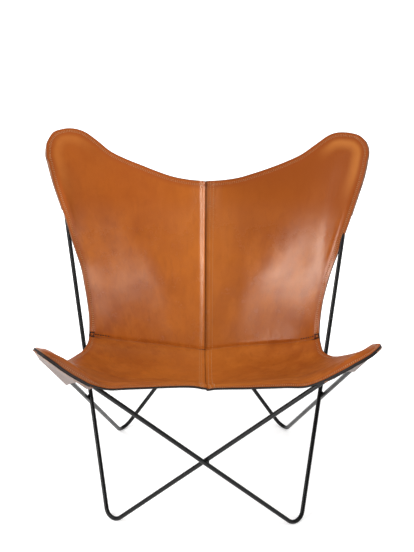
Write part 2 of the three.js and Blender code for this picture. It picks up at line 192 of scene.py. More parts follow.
ARM_RIGHT = (
    297.6, 78.2, 391.4, 304.4, 38.3, 371.2, 318.7, -4.3, 377.6,
    328.8, -44.5, 394.9, 338.2, -83.1, 415.9, 347.1, -121.5, 437.7,
    355.5, -159.7, 460.1, 363.1, -197.6, 483.7, 370.1, -234.3, 510.4,
    374.4, -251.8, 524.5, 378.3, -270.9, 534.7, 381, -283.5, 541.4,
    382.6, -295.5, 546.6, 382.4, -307.5, 550.4, 379.4, -319.5, 552.6,
    373.6, -330.2, 552.8, 366.2, -339.5, 550.8,
)
FRONT_LEFT = (
    0, -300, 432.6, -8.7, -299.4, 436.3, -19.5, -299.1, 439.5,
    -42.6, -300, 441.7, -87.4, -303.3, 442.2, -132, -308.6, 442.4,
    -176.2, -316.5, 444.4, -219.1, -328.4, 449, -258, -340.7, 467.2,
    -275, -346.1, 480.7, -291.5, -351.7, 494.4, -307.4, -357.3, 509.3,
    -316.8, -360.5, 519.1, -325.6, -363.6, 529, -334.6, -366.2, 537.9,
    -344.5, -365.3, 545.3, -354.2, -360.5, 550.1, -363.6, -350.9, 551.7,
)
FRONT_RIGHT = (
    0, -300, 432.6, 9, -299.6, 434.7, 19.9, -299.3, 436.2,
    44.7, -299.7, 437.3, 89.4, -302.6, 439.6, 133.9, -308.1, 444.1,
    177.5, -316.7, 450.3, 219.4, -329, 458, 257.4, -339.5, 478.9,
    275, -344.2, 491.7, 293.1, -348.6, 504.9, 311, -352.3, 518.4,
    321.2, -353.9, 526.6, 331.7, -355.1, 533.7, 342.5, -354.4, 540.6,
    353.4, -350.4, 545.8, 366.2, -339.5, 550.8,
)


def sampled(s, places, points):
    """Points of a line at the places s, by the place of each of its points."""
    return np.stack([np.interp(s, places, points[:, k]) for k in range(3)], -1)


def walked(line):
    """How far along a line each of its points is."""
    return np.r_[0, np.cumsum(norm(np.diff(line, axis=0)))]


class Edge:
    """Smooth curve through the points of a table, by share of its length."""

    def __init__(self, table, count=600):
        points = np.array(table, float).reshape(-1, 3) * MM
        first = 2 * points[0] - points[1]
        last = 2 * points[-1] - points[-2]
        p = np.vstack((first, points, last))
        knots = np.r_[0, np.cumsum(np.sqrt(norm(np.diff(p, axis=0))))]
        t = np.linspace(knots[1], knots[-2], count)
        i = np.clip(np.searchsorted(knots, t, "right") - 1, 1, len(points) - 1)

        def blend(a, b, low, high):
            w = ((t - low) / (high - low))[:, None]
            return a * (1 - w) + b * w

        k = [knots[i + d] for d in (-1, 0, 1, 2)]
        q = [p[i + d] for d in (-1, 0, 1, 2)]
        a = [blend(q[n], q[n + 1], k[n], k[n + 1]) for n in range(3)]
        b = [blend(a[n], a[n + 1], k[n], k[n + 2]) for n in range(2)]
        self.line = blend(b[0], b[1], k[1], k[2])
        steps = norm(np.diff(self.line, axis=0))
        self.length = steps.sum()
        self.share = np.r_[0, np.cumsum(steps)] / self.length

    def __call__(self, s):
        return sampled(s, self.share, self.line)


def patch(seam, far, centre, side, u, v):
    """Grid of points of the smooth surface between four edges."""
    u, v = u[:, None, None], v[None, :, None]
    across = (1 - v) * seam(u[:, 0, 0])[:, None] + v * far(u[:, 0, 0])[:, None]
    along = (1 - u) * centre(v[0, :, 0])[None] + u * side(v[0, :, 0])[None]
    near = (1 - u) * seam(0.0) + u * seam(1.0)
    away = (1 - u) * far(0.0) + u * far(1.0)
    return across + along - (1 - v) * near - v * away


def shares(length, step, fine, band):
    """Shares of a length: fine steps near both ends, wider ones between."""
    places = [0.0]
    while places[-1] < length / 2:
        reach = places[-1] / band
        places.append(places[-1] + fine + (step - fine) * min(reach, 1) ** 1.5)
    half = np.array(places[:-1])
    whole = np.r_[half, (length - half)[::-1]]
    return np.unique(np.round(whole / length, 6))


def normals(grid):
    """Direction square to a grid of points, towards the sitter."""
    n = np.zeros_like(grid)
    a, b = grid[:-1, :-1], grid[1:, :-1]
    c, d = grid[1:, 1:], grid[:-1, 1:]
    face = np.cross(c - a, d - b)
    for i in (slice(None, -1), slice(1, None)):
        for j in (slice(None, -1), slice(1, None)):
            n[i, j] += face
    n = unit(n)
    return n if (n[..., 2] - n[..., 1]).mean() > 0 else -n


def free_edge(grid):
    """Line round the free edge of a panel: its side, then its top or front."""
    return np.vstack((grid[-1], grid[-2::-1, -1]))


def grid_faces(rows, cells):
    """Numbers of the points of a grid, and its faces."""
    index = np.arange(rows * cells).reshape(rows, cells)
    quads = np.stack(
        (index[:-1, :-1], index[1:, :-1], index[1:, 1:], index[:-1, 1:]), -1
    )
    return index, quads.reshape(-1, 4)


# Points measured at a time, which keeps the arrays small
BLOCK = 4000


def distance(points, line):
    """Distance from each point to a line of points, and the nearest place."""
    shape = points.shape[:-1]
    flat = points.reshape(-1, 3)
    start, span = line[:-1], np.diff(line, axis=0)
    squares = (span**2).sum(1)
    far, near = np.empty(len(flat)), np.empty_like(flat)
    for i in range(0, len(flat), BLOCK):
        block = slice(i, i + BLOCK)
        p = flat[block, None]
        t = np.clip(((p - start) * span).sum(-1) / squares, 0, 1)
        q = start + t[..., None] * span
        r = norm(p - q)
        k = r.argmin(1)
        rows = np.arange(len(k))
        far[block] = r[rows, k]
        near[block] = q[rows, k]
    return far.reshape(shape), near.reshape(points.shape)


# Largest power of e that's taken
MOST_POWER = 60


def soft_top(values, sharp):
    """Smooth maximum of zero and several grids of values."""
    powers = [np.clip(v * sharp, -MOST_POWER, MOST_POWER) for v in values]
    total = 1 + sum(np.exp(power) for power in powers)
    return np.log(total) / sharp


# Rods at the horns; the point inside a bend is this far from its middle
INSIDE = 0.15


def horn(loop, i):
    """Rods from the middle of a bend towards both feet, and a point inside."""
    bend = loop[i]
    middle = len(bend) // 2
    before = np.vstack((loop[i - 1][-1:], bend[: middle + 1]))
    after = np.vstack((bend[middle:], loop[(i + 1) % 4][:1]))
    ways = unit(before[0] - bend[middle]), unit(after[-1] - bend[middle])
    inside = bend[middle] + INSIDE * unit(ways[0] + ways[1])
    return (before, after), inside


loop_a, loop_b = loop_line(LOOP_A), loop_line(LOOP_B)
PANELS = ("back", "left"), ("back", "right"), ("seat", "left"), ("seat", "right")


def by_panel(*values):
    return dict(zip(PANELS, values))


HORNS = by_panel(horn(loop_a, 1), horn(loop_b, 1), horn(loop_b, 3), horn(loop_a, 3))

# Ridges over the rods; they fade within the margin along the free edge
RIDGE_CLEARANCE = 0.2 * MM
RIDGE_ROUNDING = 9 * MM
RIDGE_SHARPNESS = 700
RIDGE_REACH = 45 * MM
RIDGE_FALL = 4
RIDGE_SPREAD = 13 * MM
RIDGE_MARGIN = 20 * MM

# Blur and gain of each round of raising
RIDGE_ROUNDS = ((1.6, 1.25), (1.0, 1.25), (0.6, 1.2), (0.35, 1.0))

# Slopes outside and inside the bend
OUTER_SLOPE = 0.62
INNER_SLOPE = 0.34
INNER_SLOPES = {("back", "right"): 0.25}
SLOPE_BLEND = 5 * MM

# Blur: lift too low to need it, usual cell, and least and most cells
LEAST_LIFT = 0.02 * MM
BLUR_CELL = 4 * MM
BLUR_SPAN = (4, 17)


def over_rods(grid, n, rods, reach, slopes=(OUTER_SLOPE, INNER_SLOPE)):
    """How far each point rises along its direction to pass over the rods."""
    lines, inside = rods
    needs = []
    for line in lines:
        far, near = distance(grid, line)
        apart = grid - near
        height = (apart * n).sum(-1)
        beside = norm(apart - height[..., None] * n)
        inward = (apart * unit(inside - near)).sum(-1)
        share = 1 / (1 + np.exp(-inward / SLOPE_BLEND))
        slope = slopes[0] + (slopes[1] - slopes[0]) * share
        tent = slope * (np.hypot(beside, RIDGE_ROUNDING) - RIDGE_ROUNDING)
        beyond = np.maximum(far - RIDGE_REACH, 0)
        needs.append(reach - height - tent - RIDGE_FALL * beyond)
    return soft_top(needs, RIDGE_SHARPNESS)


def spread(grid, values, width):
    """Values blurred over the surface of a grid of points."""
    if values.max() < LEAST_LIFT:
        return values
    cell = norm(np.cross(*np.gradient(grid, axis=(0, 1))))
    reach = int(np.clip(3 * width / BLUR_CELL + 3, *BLUR_SPAN))
    total, weight = cell * values, cell.copy()

    def shifted(i, j):
        """The places of the grid that a move by i and j ends on."""
        return tuple(
            slice(max(by, 0), size + min(by, 0)) for by, size in zip((i, j), cell.shape)
        )

    for i in range(-reach, reach + 1):
        for j in range(-reach, reach + 1):
            if not i and not j:
                continue
            to, of = shifted(i, j), shifted(-i, -j)
            square = ((grid[to] - grid[of]) ** 2).sum(-1)
            share = np.exp(-square / (2 * width**2)) * cell[of]
            total[to] += share * values[of]
            weight[to] += share
    return total / weight


def eased(grid, n, rods, reach, apart, slopes=(OUTER_SLOPE, INNER_SLOPE)):
    """Grid raised over the rods in smooth ridges, less so near its free edge."""
    margin = np.clip(apart / RIDGE_MARGIN, 0, 1)
    margin = margin * margin * (3 - 2 * margin)
    for width, gain in RIDGE_ROUNDS:
        lift = over_rods(grid, n, rods, reach, slopes)
        lift = spread(grid, lift, width * RIDGE_SPREAD) * gain * margin
        grid = grid + n * lift[..., None]
    return grid


def mesh_piece(name, vertices, faces, materials, indices=None, sharp=40):
    mesh = bpy.data.meshes.new(name)
    mesh.from_pydata(vertices.tolist(), [], faces)
    for material in materials:
        mesh.materials.append(material)
    if indices is not None:
        mesh.polygons.foreach_set("material_index", indices)
    mesh.polygons.foreach_set("use_smooth", [True] * len(mesh.polygons))
    mesh.set_sharp_from_angle(angle=math.radians(sharp))
    mesh.update()
    piece = bpy.data.objects.new(name, mesh)
    bpy.context.scene.collection.objects.link(piece)
    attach(piece, "root")
    return piece


RIM_ANGLES = (65, 32, 0, -32, -65)
RIM_SWELL = 1.0 * MM

# Places in a sheet's list of materials
FACE, RIM, UNDER, OTHER_RIM, SEAM_RIM = range(5)


def sheet_piece(
    name, middle, n, thickness, materials, measures=None, rims=None, edged=False
):
    """Closed sheet round a grid of points, with a rounded rim.
    rims gives the material of the rim at each place, and edged carries the
    rim's material over the outermost faces of the top or front."""
    rows, cells = middle.shape[:2]
    count = rows * cells
    upper = middle + n * thickness / 2
    lower = middle - n * thickness / 2
    index, quads = grid_faces(rows, cells)
    corner = middle[:2, :2].reshape(-1, 3)
    facing = np.cross(corner[2] - corner[0], corner[1] - corner[0])
    if facing @ n[0, 0] < 0:
        quads = quads[:, ::-1]
    rim = np.r_[index[:-1, 0], index[-1, :-1], index[:0:-1, -1], index[0, :0:-1]]
    at = middle.reshape(-1, 3)[rim]
    up = n.reshape(-1, 3)[rim]
    i, j = np.indices((rows, cells))
    i, j = np.clip(i, 1, rows - 2), np.clip(j, 1, cells - 2)
    within = middle[i, j].reshape(-1, 3)[rim]
    along = unit(np.roll(at, -1, 0) - np.roll(at, 1, 0))
    out = np.cross(along, up)
    out *= np.sign(((at - within) * out).sum(-1).mean())
    out = unit(out)
    rings = [rim]
    vertices = [upper.reshape(-1, 3), lower.reshape(-1, 3)]
    for ring, angle in enumerate(RIM_ANGLES):
        a = math.radians(angle)
        lift = up * thickness / 2 * math.sin(a)
        vertices.append(at + lift + out * RIM_SWELL * math.cos(a))
        rings.append(2 * count + ring * len(rim) + np.arange(len(rim)))
    rings.append(rim + count)
    side = []
    for a, b in zip(rings, rings[1:]):
        side.append(np.stack((a, b, np.roll(b, -1), np.roll(a, -1)), -1))
    side = np.vstack(side)
    vertices = np.vstack(vertices)
    first = vertices[side[0]]
    if np.cross(first[1] - first[0], first[3] - first[0]) @ out[0] < 0:
        side = side[:, ::-1]
    faces = np.vstack((quads, quads[:, ::-1] + count, side))
    kinds = np.repeat((FACE, UNDER, RIM), (len(quads), len(quads), len(side)))
    if edged:
        kinds[np.arange(len(quads)).reshape(rows - 1, cells - 1)[:, -1]] = RIM
    if rims is not None:
        kinds[2 * len(quads) :] = np.tile(rims.reshape(-1)[rim], len(rings) - 1)
    piece = mesh_piece(name, vertices, faces.tolist(), materials, kinds)
    for word, values in (measures or {}).items():
        flat = values.reshape(-1)
        ring = np.tile(flat[rim], len(RIM_ANGLES))
        attribute = piece.data.attributes.new(word, "FLOAT", "POINT")
        attribute.data.foreach_set("value", np.r_[flat, flat, ring])
    return piece


# Panels

FORMS = by_panel(
    (SEAM_LEFT, TOP_LEFT, CENTRE_BACK, SIDE_LEFT),
    (SEAM_RIGHT, TOP_RIGHT, CENTRE_BACK, SIDE_RIGHT),
    (SEAM_LEFT, FRONT_LEFT, CENTRE_SEAT, ARM_LEFT),
    (SEAM_RIGHT, FRONT_RIGHT, CENTRE_SEAT, ARM_RIGHT),
)
HANDS = {"left": -1, "right": 1}

# Centre seam, in millimetres: rise and width of each lip; half the gap
LIPS = by_panel((6.5, 11.0), (0.8, 6.0), (3.4, 9.0), (1.0, 5.0))
HALF_GAP = {"back": 0.9 * MM, "seat": 0.8 * MM}
LIP_PULL = 6 * MM

# Cross seam: valley, width over which the panels face one way, and half the gap
VALLEY_DEPTH, VALLEY_WIDTH = 2.6 * MM, 5.5 * MM
SEAM_BLEND, SEAM_SPACE = 9 * MM, 0.2 * MM

# Back: how far each half swells, from what share of its width to what height
SWELL, SWELL_START, SWELL_END = 9 * MM, 0.25, 0.85

# Grid: wide steps, and fine ones in a band along each edge
STEP, FINE_STEPS, FINE_BAND = 5 * MM, (1.1 * MM, 1.3 * MM), 26 * MM

# Seat: how far the black front edge goes round each tip
BLACK_TIP = 62 * MM


def bell(x, width):
    return np.exp(-((x / width) ** 2))


def swelled(grid, u, v):
    """Back panel swelled between the centre seam and its free side."""
    across = np.clip((u - SWELL_START) / (1 - SWELL_START), 0, 1)
    out = np.sin(np.pi * across) ** 2
    t = np.minimum(v / SWELL_END, 1)
    up = 27 / 4 * t * (1 - t) ** 2
    near = unit(np.array(EYE) - grid)
    return grid + near * (SWELL * out[:, None] * up)[..., None]


class Panel:
    """One leather panel: its middle surface, and how far each point of it is
    from the free edge, the centre seam and the cross seam."""

    def __init__(self, part, side):
        self.part, self.side = part, side
        seam, far, centre, beside = (Edge(t) for t in FORMS[part, side])
        width = (seam.length + far.length) / 2
        length = (centre.length + beside.length) / 2
        u = shares(width, STEP, FINE_STEPS[0], FINE_BAND)
        v = shares(length, STEP, FINE_STEPS[1], FINE_BAND)
        grid = patch(seam, far, centre, beside, u, v)
        n = normals(grid)
        self.base, self.base_n, self.u, self.v = grid, n, u, v
        if part == "back":
            grid = swelled(grid, u, v)
            n = normals(grid)
        reach = ROD_RADIUS + LEATHER / 2 + RIDGE_CLEARANCE
        apart, _ = distance(grid, free_edge(grid))
        slopes = OUTER_SLOPE, INNER_SLOPES.get((part, side), INNER_SLOPE)
        grid = eased(grid, n, HORNS[part, side], reach, apart, slopes)
        self.edge, _ = distance(grid, free_edge(grid))
        self.centre, _ = distance(grid, grid[0])
        self.seam, _ = distance(grid, grid[:, 0])
        self.grid = grid
        self.rims = np.full(grid.shape[:2], OTHER_RIM if part == "seat" else RIM)
        if part == "seat":
            near_tip = norm(grid[-1] - grid[-1, -1]) < BLACK_TIP
            self.rims[:, -1] = RIM
            self.rims[-1, near_tip] = RIM
        self.rims[0] = SEAM_RIM

    def finish(self, seam_normals):
        """Lips at the centre seam and the valley at the cross seam."""
        hand = HANDS[self.side]
        n = normals(self.grid)
        near = bell(self.seam, SEAM_BLEND)[..., None]
        n = unit(n * (1 - near) + seam_normals[:, None] * near)
        rise, width = LIPS[self.part, self.side]
        lip = rise * MM * bell(self.centre, width * MM)
        dip = VALLEY_DEPTH * bell(self.seam, VALLEY_WIDTH)
        grid = self.grid + n * (lip - dip)[..., None]
        pull = bell(self.centre, LIP_PULL)
        grid[..., 0] += hand * HALF_GAP[self.part] * pull
        away = unit(self.grid[:, 1] - self.grid[:, 0])
        grid += away[:, None] * SEAM_SPACE * near
        self.grid = grid
        n = normals(grid)
        self.n = unit(n * (1 - near) + seam_normals[:, None] * near)


panels = {key: Panel(*key) for key in PANELS}
for side in HANDS:
    pair = panels["back", side], panels["seat", side]
    u = np.unique(np.r_[pair[0].u, pair[1].u])
    mean = unit(sum(sampled(u, p.u, normals(p.grid)[:, 0]) for p in pair))
    for panel in pair:
        panel.finish(unit(sampled(panel.u, u, mean)))


# Materials


class Tree:
    """Short way to build the nodes of a material or of the world."""

    def __init__(self, owner):
        owner.use_nodes = True
        self.tree = owner.node_tree

    def add(self, kind, inputs=(), output=0, **settings):
        """New node with its inputs and settings; gives one of its outputs."""
        node = self.tree.nodes.new("ShaderNode" + kind)
        for key, value in settings.items():
            setattr(node, key, value)
        for key, value in dict(inputs).items():
            self.put(value, node.inputs[key])
        return node.outputs[output] if node.outputs else node

    def put(self, value, socket):
        if isinstance(value, bpy.types.NodeSocket):
            self.tree.links.new(value, socket)
        else:
            socket.default_value = value

    def remap(self, value, *ends, kind="LINEAR"):
        """Value taken from one range to another, which is 0 to 1 if not given."""
        inputs = enumerate((value, *ends))
        return self.add("MapRange", inputs, interpolation_type=kind)

    def ramp(self, value, *ends):
        return self.remap(value, *ends, kind="SMOOTHSTEP")

    def maths(self, operation, a, b=0.0):
        return self.add("Math", {0: a, 1: b}, operation=operation)

    def times(self, value, *others):
        for other in others:
            value = self.maths("MULTIPLY", value, other)
        return value

    def between(self, share, a, b):
        """Shader that turns from a to b with the share."""
        return self.add("MixShader", {0: share, 1: a, 2: b})


class Nodes(Tree):
    """Nodes of a material, round its Principled shader."""

    def __init__(self, name, **constants):
        self.material = bpy.data.materials.new(name)
        super().__init__(self.material)
        self.shader = self.tree.nodes["Principled BSDF"]
        self.set(**constants)

    def set(self, **sockets):
        for socket, value in sockets.items():
            self.put(value, self.shader.inputs[socket.replace("_", " ")])

    def finish(self, base, rough, normal):
        self.set(Base_Color=base, Roughness=rough, Normal=normal)
        return self.material

    def place(self):
        return self.add("TexCoord", output="Object")

    def stretch(self, vector, scale):
        return self.add("Mapping", {"Vector": vector, "Scale": scale})

    def noise(self, vector, scale, detail=3.0, rough=0.55):
        inputs = dict(Vector=vector, Scale=scale, Detail=detail, Roughness=rough)
        return self.add("TexNoise", inputs)

    def cells(self, vector, scale):
        inputs = {"Vector": vector, "Scale": scale}
        return self.add("TexVoronoi", inputs, feature="DISTANCE_TO_EDGE")

    def mix(self, share, a, b):
        return self.add("Mix", {0: share, 6: a, 7: b}, 2, data_type="RGBA")

    def measure(self, name):
        return self.add("Attribute", output="Fac", attribute_name=name)

    def bump(self, height, distance, strength=1.0, after=None):
        inputs = {"Height": height, "Distance": distance, "Strength": strength}
        if after is not None:
            inputs["Normal"] = after
        return self.add("Bump", inputs)


def colour(r, g, b):
    """Linear colour of an sRGB one given in 0-255."""
    parts = []
    for c in (r, g, b):
        c /= 255
        parts.append(c / 12.92 if c <= 0.04045 else ((c + 0.055) / 1.055) ** 2.4)
    return (*parts, 1.0)


# Rows of stitches from the free edge; half widths of the groove and of the painted
# shade line along it
EDGE_ROWS = (7.5 * MM, 10.8 * MM)
GROOVE, GROOVE_SHADE = 0.0014, 0.0012

# Heights over which painted shade darkens the hide, it turns matte, and a painted
# highlight lies on the ridge over the rods
TOP_SHADE_HEIGHTS = (0.5, 0.82)
MATTE_HEIGHTS = (0.6, 0.72)
RIDGE_LIGHT_HEIGHTS = (0.7, 0.8)


def leather_material(name, tone, gloss, dull, ridge_light, dark):
    """Smooth vegetable-tanned leather. tone is how light it is, gloss how much
    it shines and dull its least roughness; the last two arguments set how strong the
    painted highlight on the ridge over the rods near the top is, and how far painted
    shade darkens it towards the top."""

    def shade(r, g, b):
        return *(c * tone for c in colour(r, g, b)[:3]), 1.0

    n = Nodes(name, IOR=1.6, Specular_Tint=(1.0, 0.86, 0.74, 1.0))
    at = n.place()
    height = n.add("SeparateXYZ", {0: at}, "Z")
    edge, centre = n.measure("edge"), n.measure("centre")
    clouds = n.remap(n.noise(at, 5.5, 4, 0.6), 0.3, 0.7)
    patches = n.remap(n.noise(at, 17, 5, 0.62), 0.32, 0.68)
    streaks = n.noise(n.stretch(at, (26, 26, 5)), 1, 4, 0.6)
    veins = n.noise(n.stretch(at, (75, 75, 9)), 1, 5, 0.65)
    fine = n.noise(at, 420, 3, 0.6)
    # Painted shade: the hide darkens towards the top, less so near the centre seam
    painted_top_shade = n.times(
        n.ramp(height, *TOP_SHADE_HEIGHTS, 0, dark),
        n.ramp(centre, 0, 0.12, 0.5, 1),
    )
    # Painted highlight along the ridge over the rods at the horns, near the top
    ridge = n.times(
        n.ramp(edge, 0.012, 0.028),
        n.ramp(edge, 0.028, 0.056, ridge_light, 0),
        n.ramp(centre, 0.3, 0.37),
        n.ramp(height, *RIDGE_LIGHT_HEIGHTS),
    )
    groove = n.maths(
        "MINIMUM",
        *(n.maths("ABSOLUTE", n.maths("SUBTRACT", edge, row)) for row in EDGE_ROWS),
    )
    # Painted light: the hide is lighter along the centre seam, fading out 0.2 m from it
    middle = n.ramp(centre, 0, 0.2, 0.42, 0)
    # Darker band 12 to 26 mm inside the free edge
    edge_tone = n.ramp(edge, 0.012, 0.026, 0.6, 0)
    burnt = n.ramp(edge, 0.0002, 0.0016, 0.6, 0)
    # Painted shade: a darker line along each stitch groove
    sewn = n.ramp(groove, 0, GROOVE_SHADE, 0.5, 0)
    base = n.mix(clouds, shade(150, 75, 21), shade(190, 107, 34))
    for share, paint in (
        (n.remap(patches, 0, 1, 0, 0.62), shade(146, 69, 19)),
        (n.ramp(streaks, 0.42, 0.7, 0, 0.5), shade(188, 107, 40)),
        (n.ramp(veins, 0.5, 0.68, 0, 0.32), shade(128, 60, 18)),
        (n.remap(fine, 0.3, 0.75, 0, 0.25), shade(128, 58, 16)),
        (middle, shade(196, 114, 42)),
        (painted_top_shade, shade(142, 69, 20)),
        (ridge, shade(198, 124, 58)),
        (edge_tone, shade(144, 68, 24)),
        (burnt, colour(96, 52, 26)),
        (sewn, shade(112, 50, 20)),
    ):
        base = n.mix(share, base, paint)
    matte = n.times(
        n.ramp(height, *MATTE_HEIGHTS),
        n.ramp(centre, 0.02, 0.05),
    )
    grain = n.maths("ADD", n.times(patches, 0.5), n.times(fine, 0.5))
    rough = n.remap(grain, 0.2, 0.8, dull, dull + 0.09)
    rough = n.maths("ADD", rough, n.times(matte, 0.18))
    shine = n.remap(matte, 0, 1, gloss, gloss * 0.2)
    pores = n.remap(n.cells(at, 900), 0, 0.12)
    waves = n.noise(n.stretch(at, (9, 9, 4)), 1, 3)
    normal = n.bump(pores, 0.00006, 0.35)
    normal = n.bump(n.noise(at, 260, 4, 0.6), 0.00018, 0.3, normal)
    normal = n.bump(waves, 0.006, 0.35, normal)
    dip = n.ramp(groove, 0, GROOVE)
    normal = n.bump(dip, 0.0005, 0.6, normal)
    n.set(Specular_IOR_Level=shine)
    return n.finish(base, rough, normal)


def suede_material():
    """Napped flesh side of the hide."""
    n = Nodes("raw_suede_flesh_side", Sheen_Weight=0.35, Sheen_Roughness=0.5)
    n.set(Specular_IOR_Level=0.15)
    at = n.place()
    nap = n.noise(at, 380, 6, 0.7)
    clouds = n.remap(n.noise(at, 14, 5, 0.65), 0.3, 0.7)
    fibres = n.noise(n.stretch(at, (500, 120, 500)), 1, 3, 0.7)
    base = n.mix(clouds, colour(120, 101, 94), colour(139, 120, 113))
    base = n.mix(n.remap(nap, 0.3, 0.7, 0, 0.5), base, colour(106, 86, 78))
    base = n.mix(n.remap(fibres, 0.45, 0.75, 0, 0.35), base, colour(156, 138, 131))
    normal = n.bump(nap, 0.0006, 0.8)
    normal = n.bump(fibres, 0.0004, 0.6, normal)
    rough = n.remap(nap, 0.2, 0.8, 0.82, 0.98)
    return n.finish(base, rough, normal)


def edge_material():
    """Edge dyed black, rubbed brown in places."""
    n = Nodes("dyed_edge", Specular_IOR_Level=0.3)
    at = n.place()
    grain = n.noise(at, 300, 5, 0.65)
    rubbed = n.remap(n.noise(at, 45, 4, 0.6), 0.55, 0.8, 0, 0.4)
    base = n.mix(grain, colour(20, 15, 14), colour(34, 26, 23))
    base = n.mix(rubbed, base, colour(66, 46, 37))
    rough = n.remap(grain, 0.2, 0.8, 0.5, 0.75)
    return n.finish(base, rough, n.bump(grain, 0.0004, 0.6))


def raw_edge_material():
    """Edge left as it was cut."""
    n = Nodes("cut_edge_natural")
    at = n.place()
    grain = n.noise(at, 320, 5, 0.65)
    edge_tone = n.remap(n.noise(at, 30, 4, 0.6), 0.35, 0.7)
    base = n.mix(edge_tone, colour(112, 68, 42), colour(158, 112, 80))
    base = n.mix(n.remap(grain, 0.35, 0.7, 0, 0.5), base, colour(84, 50, 32))
    rough = n.remap(grain, 0.2, 0.8, 0.55, 0.8)
    return n.finish(base, rough, n.bump(grain, 0.0005, 0.6))


def thread_material(name, low, high, sheen):
    """Twisted thread between two colours."""
    n = Nodes(name, Sheen_Weight=sheen)
    at = n.place()
    twist = n.noise(at, 1500, 2)
    base = n.mix(n.remap(twist, 0.35, 0.65), low, high)
    rough = n.remap(n.noise(at, 90, 2), 0.3, 0.7, 0.6, 0.8)
    return n.finish(base, rough, n.bump(twist, 0.0002, 0.6))


def steel_material():
    """Black satin coat over steel, with orange peel and some dust."""
    n = Nodes("black_steel_satin", IOR=1.45, Specular_IOR_Level=0.34)
    at = n.place()
    orange = n.noise(at, 900, 3, 0.5)
    clouds = n.noise(at, 22, 4, 0.6)
    dust = n.remap(n.noise(at, 160, 5, 0.7), 0.58, 0.8, 0, 0.35)
    base = n.mix(clouds, colour(7, 7, 8), colour(13, 13, 14))
    base = n.mix(dust, base, colour(28, 27, 26))
    rough = n.remap(clouds, 0.3, 0.7, 0.26, 0.4)
    return n.finish(base, rough, n.bump(orange, 0.00012, 0.5))


# Tone, gloss, dull, ridge highlight and top shade of each leather; the last two are
# painted highlight and painted shade, and the left back's higher tone is painted light
SKINS = by_panel(
    (1.05, 0.5, 0.2, 0.22, 0.75),
    (0.96, 0.5, 0.2, 0.5, 1.0),
    (0.96, 0.35, 0.36, 0.0, 0.7),
    (0.95, 0.1, 0.56, 0.0, 0.7),
)
LEATHERS = {
    (part, side): leather_material(f"tan_leather_{part}_{side}", *skin)
    for (part, side), skin in SKINS.items()
}
SUEDE = suede_material()
DYED = edge_material()
RAW_EDGE = raw_edge_material()
TAN = colour(160, 106, 58), colour(196, 144, 92)
DARK = colour(16, 10, 9), colour(30, 20, 16)
THREAD = thread_material("tan_thread", *TAN, sheen=0.2)
DARK_THREAD = thread_material("dark_thread", *DARK, sheen=0.02)
STEEL = steel_material()


def leather_sheet(key):
    """Sheet of one panel's leather."""
    part, side = key
    panel = panels[key]
    seat = part == "seat"
    rim = DYED if seat else RAW_EDGE
    piece = sheet_piece(
        f"{part}_leather_{side}",
        panel.grid,
        panel.n,
        LEATHER,
        (LEATHERS[key], rim, SUEDE, RAW_EDGE, DYED),
        {"edge": panel.edge, "centre": panel.centre, "seam": panel.seam},
        panel.rims,
        seat,
    )
    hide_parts(f"{part}_panel_{side}")
    return piece


def tree_of(grid, n, thickness):
    """Search tree of the face of a sheet."""
    face = grid + n * thickness / 2
    _, quads = grid_faces(*grid.shape[:2])
    return BVHTree.FromPolygons(face.reshape(-1, 3).tolist(), quads.tolist())


# Stitches

STITCH_PITCH = 4.9 * MM
STITCH_LENGTH = 2.5 * MM
STITCH_WIDTH = 0.75 * MM
STITCH_HEIGHT = 0.42 * MM
STITCH_SIDES = 6
STITCH_RINGS = ((-1.0, 0.15), (-0.78, 0.75), (0.0, 1.0), (0.78, 0.75), (1.0, 0.15))
STITCH_SINK = 0.35
STITCH_TILT = 0.07
HEADING_REACH = 0.002


def on_face(tree, point):
    """Nearest place on the face in the tree, and its direction."""
    spot, n, _, _ = tree.find_nearest(Vector(point))
    return np.array(spot), np.array(n)


def row_places(line, inner, tree, inset, trim):
    """Places of a row of stitches beside a line, on the face in the tree."""
    steps = walked(line)
    count = int((steps[-1] - sum(trim)) / STITCH_PITCH)
    along = np.linspace(trim[0], steps[-1] - trim[1], max(count, 2))
    places = []
    for s in along:
        p = sampled(s, steps, line)
        ahead = sampled(s + HEADING_REACH, steps, line)
        way = unit(ahead - sampled(s - HEADING_REACH, steps, line))
        inward = sampled(s, steps, inner) - p
        inward = unit(inward - way * (inward @ way))
        spot, n = on_face(tree, p + inward * inset)
        places.append((spot, way, n))
    return places


# Waist: box of dark stitches over the cross seam, and the row beside it
BOX_NEAR, BOX_FAR = 1.6 * MM, 11.5 * MM
BOX_LOW, BOX_HIGH = 1.2 * MM, 11.0 * MM
ROW_END, ROW_LIFT = 62 * MM, 7.5 * MM
ROW_GAP, ROW_PITCH = 0.006, 0.0078
BOX_COUNT = 4
WAIST_SIZE = 2.0


def box_places(key, tree):
    """Places of the dark stitches at the waist: a small box at the free side
    and a short row along the cross seam beside it."""
    grid = panels[key].grid
    seam = grid[::-1, 0]
    steps = walked(seam)
    up = unit(grid[-4, 8] - grid[-4, 0])

    def at(s, lift):
        return on_face(tree, sampled(s, steps, seam) + up * lift)

    along = unit(at(0.02, 0.0)[0] - at(HEADING_REACH, 0.0)[0])
    wide = np.linspace(BOX_NEAR, BOX_FAR, BOX_COUNT)
    high = np.linspace(BOX_LOW, BOX_HIGH, BOX_COUNT)
    row = np.arange(BOX_FAR + ROW_GAP, ROW_END, ROW_PITCH)
    marks = [(s, lift, along) for lift in (BOX_LOW, BOX_HIGH) for s in wide]
    marks += [(s, lift, up) for s in (BOX_NEAR, BOX_FAR) for lift in high]
    marks += [(s, ROW_LIFT, along) for s in row]
    places = []
    for s, lift, way in marks:
        spot, n = at(s, lift)
        places.append((spot, way, n))
    return places


def tube_faces(rings, sides, first=0, closed=False):
    """Faces between rings of points that follow each other."""
    faces = []
    for r in range(rings if closed else rings - 1):
        here, there = first + r * sides, first + (r + 1) % rings * sides
        for s in range(sides):
            after = (s + 1) % sides
            faces.append((here + s, here + after, there + after, there + s))
    return faces


